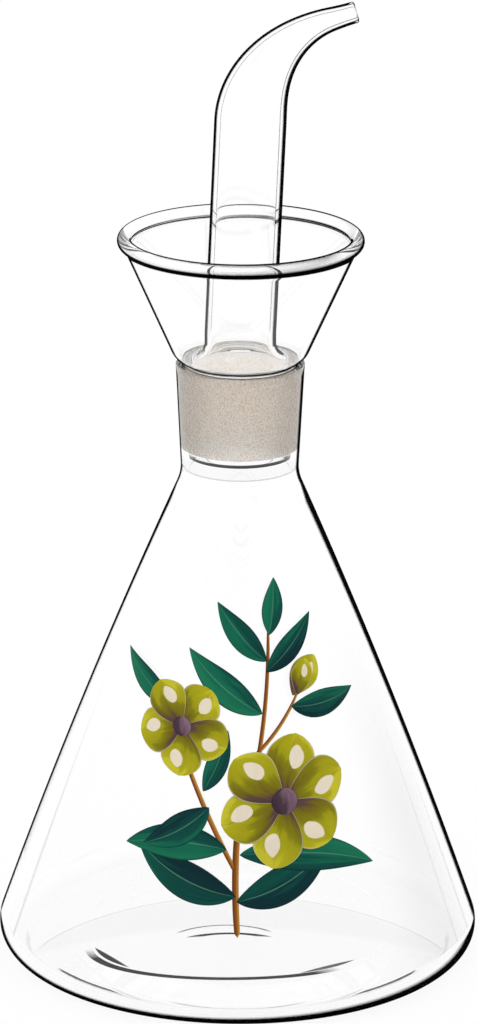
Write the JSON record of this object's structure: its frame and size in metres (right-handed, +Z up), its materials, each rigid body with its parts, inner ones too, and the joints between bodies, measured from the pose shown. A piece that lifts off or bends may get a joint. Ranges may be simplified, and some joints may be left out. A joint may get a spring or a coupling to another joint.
{
  "type": "oil bottle",
  "caption": "Conical clear glass oil cruet, empty, with a ground-in glass pourer that has a drip funnel and a bent tapering spout.",
  "frame": {"origin": "middle of the foot ring, on the surface that the flask stands on", "axes": "+Z up along the flask's axis, +X towards the spout's tip, -Y the printed front"},
  "size_m": [0.095, 0.095, 0.1918],
  "materials": {
    "flask_glass": "clear blown borosilicate glass, ground inside the neck",
    "pourer_glass": "clear lamp-worked borosilicate glass, ground outside the plug",
    "enamel_print": "thin fired enamel print on the flask's front"
  },
  "bodies": {
    "root": {"flask": "flask_glass", "pourer": "pourer_glass"}
  },
  "joints": []
}
